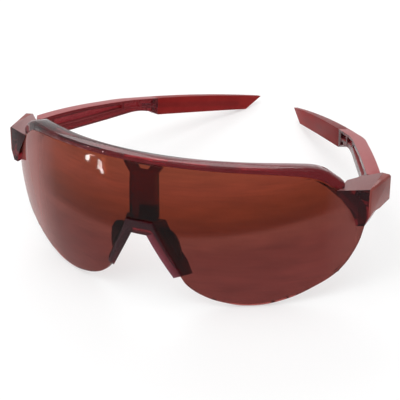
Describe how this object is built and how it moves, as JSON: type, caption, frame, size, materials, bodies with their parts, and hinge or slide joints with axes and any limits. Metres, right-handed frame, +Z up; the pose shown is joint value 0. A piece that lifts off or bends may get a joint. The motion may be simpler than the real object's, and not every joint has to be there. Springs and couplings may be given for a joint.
{
  "type": "sunglasses",
  "caption": "Sport shield sunglasses with one wide curved lens, a brow bar with a centre post, a nose piece and folding arms, standing on the lens edge and arm tips.",
  "frame": {"origin": "on the table under the middle of the box round the object as it stands", "axes": "+X towards the wearer's left side, +Y from the lens back to the arm tips, +Z up from the table"},
  "size_m": [0.14, 0.1305, 0.0494],
  "materials": {
    "frame_plastic": "translucent, polished",
    "arm_plastic": "translucent, satin",
    "lens_tint": "polished with a mirror tint",
    "grip_rubber": "soft touch",
    "pad_rubber": "soft matt",
    "steel": "bright turned",
    "brass": "knurled and plain",
    "washer_plastic": "plain"
  },
  "bodies": {
    "front": {"front_frame": "frame_plastic", "lens": "lens_tint", "nose_bridge": "frame_plastic", "nose_pad_left": "pad_rubber", "nose_pad_right": "pad_rubber", "corner_cap_left": "frame_plastic", "corner_cap_right": "frame_plastic", "cap_screw_left": "steel", "cap_screw_right": "steel", "hinge_screw_left": "steel", "hinge_screw_right": "steel", "hinge_insert_left": "brass", "hinge_insert_right": "brass", "hinge_washer_low_left": "washer_plastic", "hinge_washer_low_right": "washer_plastic", "hinge_washer_high_left": "washer_plastic", "hinge_washer_high_right": "washer_plastic"},
    "left_temple": {"temple_arm_left": "arm_plastic", "temple_grip_left": "grip_rubber", "temple_wire_left": "steel"},
    "right_temple": {"temple_arm_right": "arm_plastic", "temple_grip_right": "grip_rubber", "temple_wire_right": "steel"}
  },
  "joints": [
    {"name": "left_hinge", "type": "hinge", "parent": "front", "child": "left_temple", "pos_m": [0.06261, -0.02621, 0.03166], "axis": [0, 0.244, 0.9698], "range_deg": [-23.5, 63.5]},
    {"name": "right_hinge", "type": "hinge", "parent": "front", "child": "right_temple", "pos_m": [-0.06261, -0.02621, 0.03166], "axis": [0, -0.244, -0.9698], "range_deg": [-14, 60]}
  ]
}
